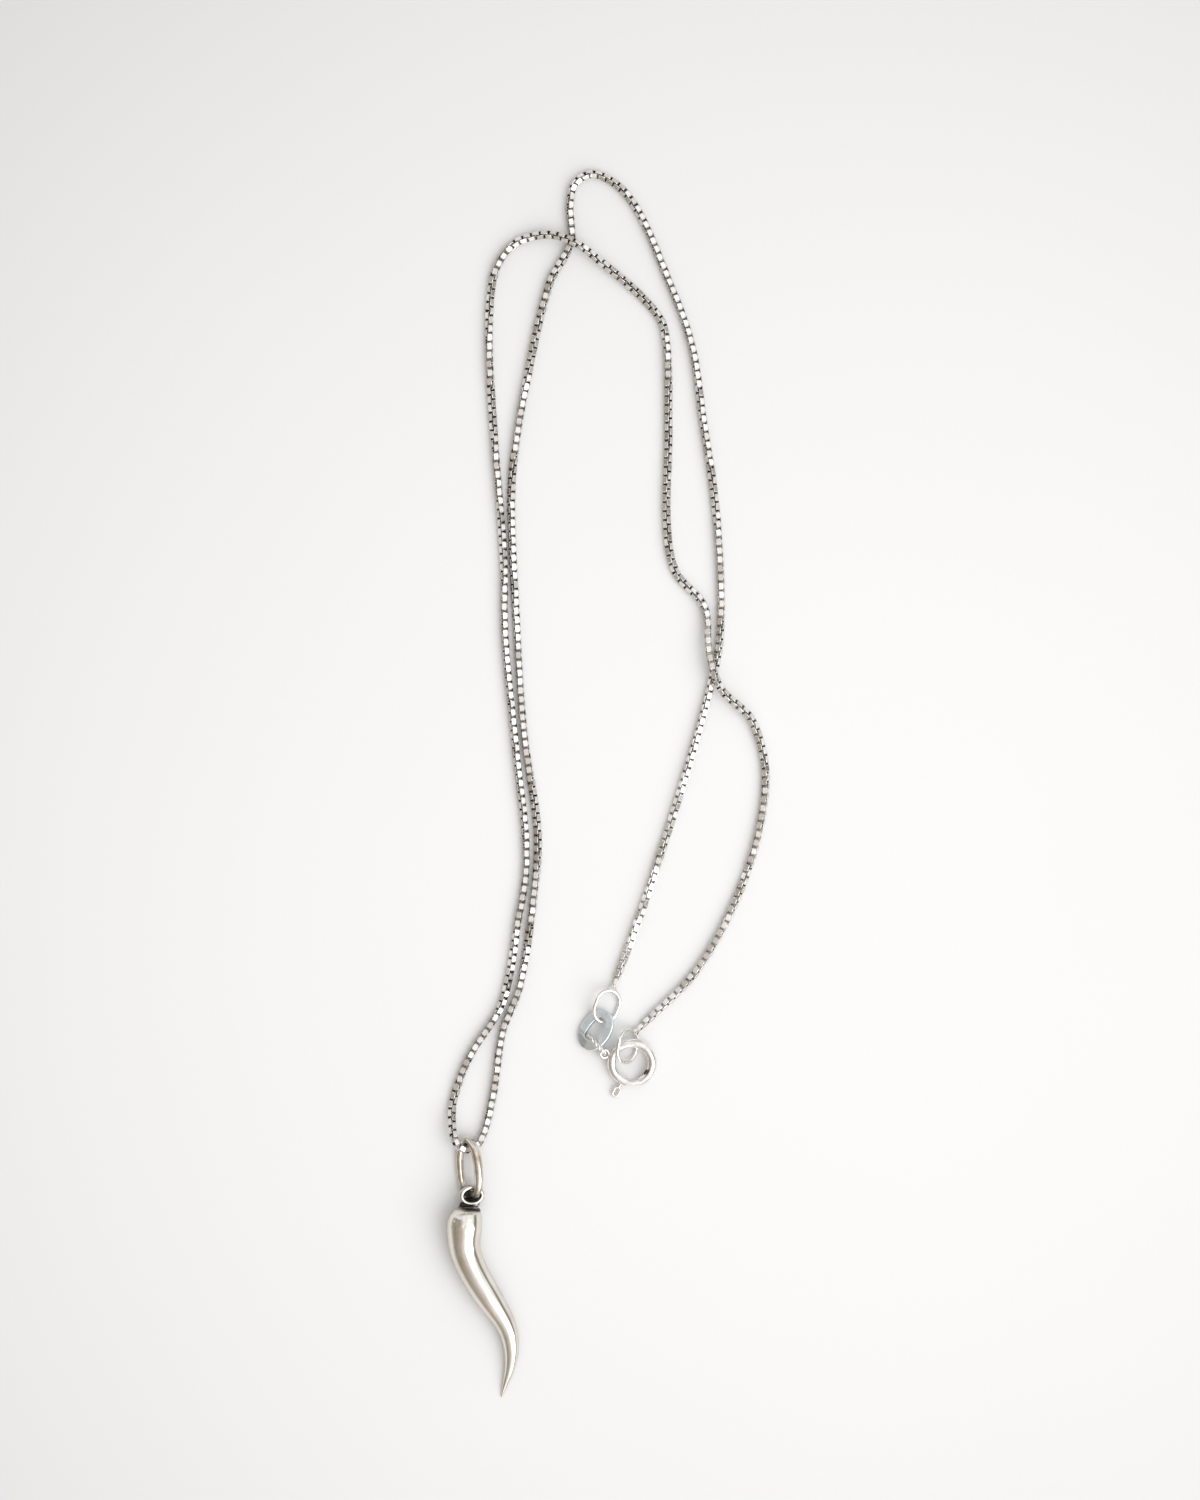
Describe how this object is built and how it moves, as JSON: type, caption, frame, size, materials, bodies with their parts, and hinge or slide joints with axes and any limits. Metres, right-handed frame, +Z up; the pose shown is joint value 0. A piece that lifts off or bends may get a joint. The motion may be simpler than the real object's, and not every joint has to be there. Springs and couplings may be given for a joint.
{
  "type": "cornicello horn pendant on a box chain",
  "caption": "S-curved polished silver horn charm on an oval bail, hung on a fine box chain closed by a spring-ring clasp, laid flat.",
  "frame": {"origin": "on the surface that the piece lies on, under the middle of its bounding box", "axes": "+X to the right and +Y towards the top of the chain's loop as laid, +Z up from the surface"},
  "size_m": [0.0379, 0.1443, 0.0042],
  "materials": {
    "horn_silver": "polished, lightly scratched",
    "bail_silver": "polished, lightly tarnished",
    "chain_silver": "polished",
    "ring_silver": "polished",
    "brushed_silver": "brushed",
    "clasp_silver": "polished",
    "bolt_silver": "polished"
  },
  "bodies": {
    "necklace": {"horn": "horn_silver", "bail": "bail_silver", "chain_tag_side": "chain_silver", "chain_clasp_side": "chain_silver", "end_ring_tag": "ring_silver", "end_ring_clasp": "ring_silver", "tag": "brushed_silver", "tag_link": "ring_silver", "clasp_body": "clasp_silver"},
    "bolt": {"clasp_bolt": "bolt_silver"}
  },
  "joints": [
    {"name": "bolt_slide_round", "type": "hinge", "parent": "necklace", "child": "bolt", "pos_m": [0.0027, -0.03275, 0.00084], "axis": [0, 0.1287, -0.9917], "range_deg": [0, 40], "stiffness_Nm_per_rad": 0.001, "springref_deg": -20.05}
  ]
}
